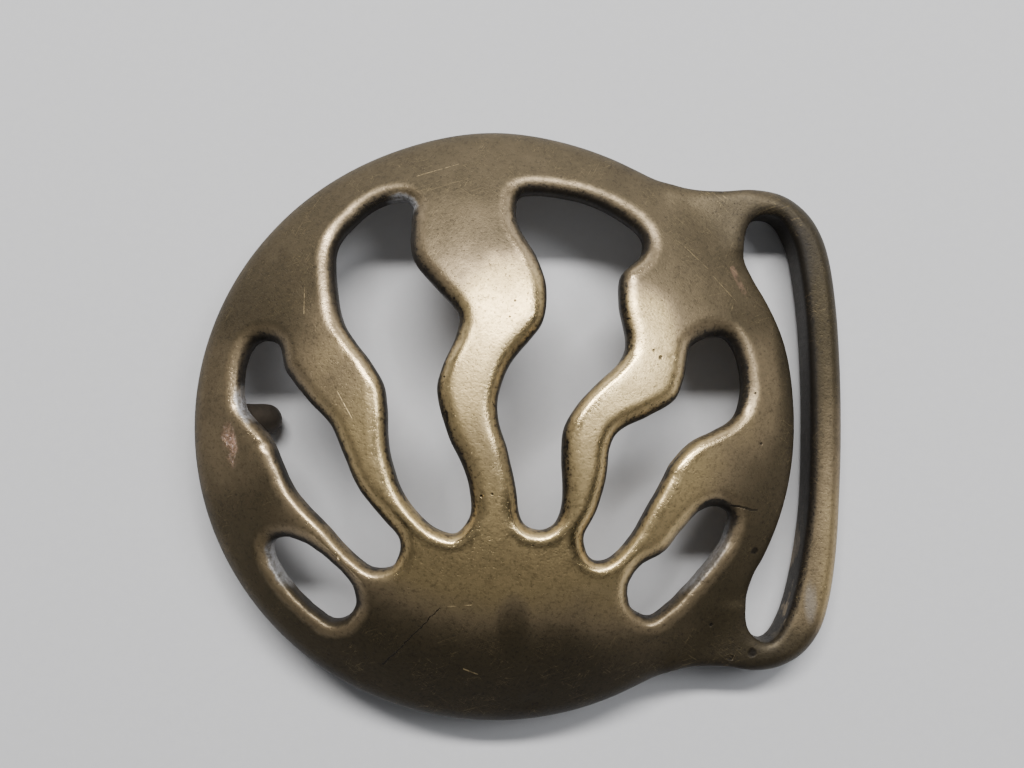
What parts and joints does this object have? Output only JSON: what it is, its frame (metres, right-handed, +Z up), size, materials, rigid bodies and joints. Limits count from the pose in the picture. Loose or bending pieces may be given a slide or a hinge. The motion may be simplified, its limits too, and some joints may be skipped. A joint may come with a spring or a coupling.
{
  "type": "belt buckle",
  "caption": "Domed oval cast-brass belt buckle, pierced into a rising sun with wavy rays, with a D-shaped belt loop and a leaning stud behind.",
  "frame": {"origin": "middle of the buckle's bounding box, on the table that it lies on", "axes": "face up: +X towards the belt loop, +Y towards the top of the face as the picture shows it, +Z up out of the face"},
  "size_m": [0.0691, 0.0623, 0.0156],
  "materials": {
    "aged_brass": "worn satin brass with brown tarnish, brighter on raised edges",
    "stud_brass": "dark tarnished brass"
  },
  "bodies": {
    "root": {"buckle_casting": "aged_brass", "belt_stud": "stud_brass"}
  },
  "joints": []
}
